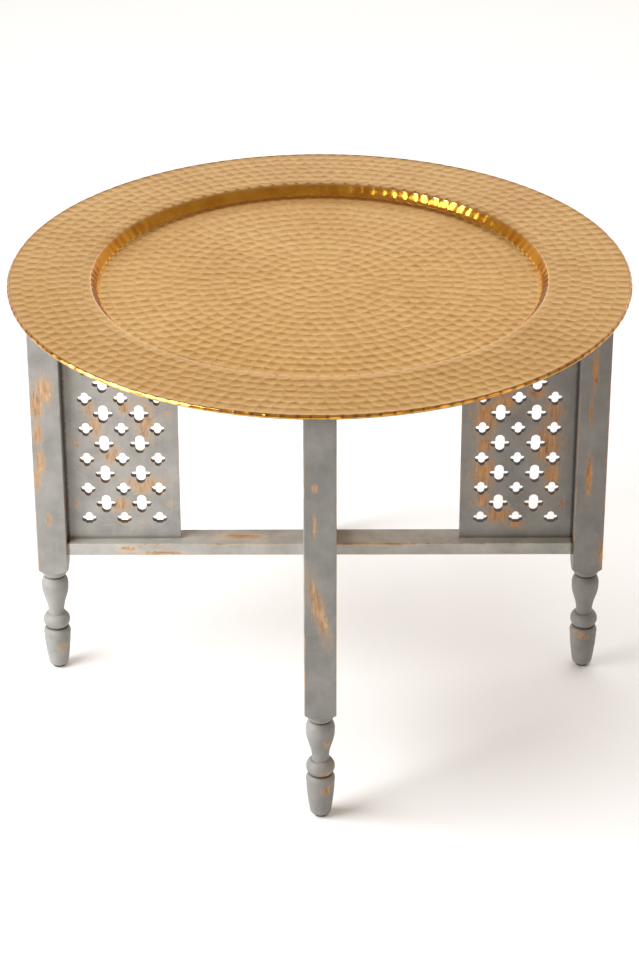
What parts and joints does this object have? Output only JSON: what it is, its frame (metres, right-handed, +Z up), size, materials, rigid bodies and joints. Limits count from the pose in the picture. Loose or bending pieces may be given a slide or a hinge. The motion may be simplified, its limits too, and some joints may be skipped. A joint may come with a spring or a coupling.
{
  "type": "folding tray table",
  "caption": "Round hammered brass tray with a shallow well, resting on a folding wooden stand of two crossed frames with pierced lattice panels and turned feet.",
  "frame": {"origin": "on the floor, on the vertical pivot axis where the two frames cross, under the centre of the tray", "axes": "+Z up; frame A stands along X, frame B along Y; -Y is the side seen from the front"},
  "size_m": [0.76, 0.76, 0.56],
  "materials": {
    "hammered_brass": "satin, hand-hammered, with a glossy wall and edge",
    "painted_wood": "matte grey paint, rubbed through to orange-brown wood",
    "steel": "zinc-plated",
    "glide_plastic": "matte dark brown"
  },
  "bodies": {
    "frame_a": {"a_left_leg": "painted_wood", "a_right_leg": "painted_wood", "a_lower_rail": "painted_wood", "a_upper_rail": "painted_wood", "a_left_panel": "painted_wood", "a_right_panel": "painted_wood", "a_left_glide": "glide_plastic", "a_right_glide": "glide_plastic", "a_glide_nails": "steel", "lower_pivot_spacer": "steel", "upper_pivot_spacer": "steel"},
    "frame_b": {"b_front_leg": "painted_wood", "b_back_leg": "painted_wood", "b_lower_rail": "painted_wood", "b_upper_rail": "painted_wood", "b_front_panel": "painted_wood", "b_back_panel": "painted_wood", "b_front_glide": "glide_plastic", "b_back_glide": "glide_plastic", "b_glide_nails": "steel", "lower_pivot_bolt": "steel", "upper_pivot_bolt": "steel", "lower_pivot_nut": "steel", "upper_pivot_nut": "steel", "lower_pivot_washer": "steel", "upper_pivot_washer": "steel"},
    "tray": {"tray": "hammered_brass", "tray_rim_wire": "steel"}
  },
  "joints": [
    {"name": "fold", "type": "hinge", "parent": "frame_a", "child": "frame_b", "pos_m": [0, 0, 0], "axis": [0, 0, 1], "range_deg": [-80, 80]},
    {"name": "tray_lift", "type": "slide", "parent": "frame_a", "child": "tray", "axis": [0, 0, 1], "range_m": [0, 0.1]}
  ]
}
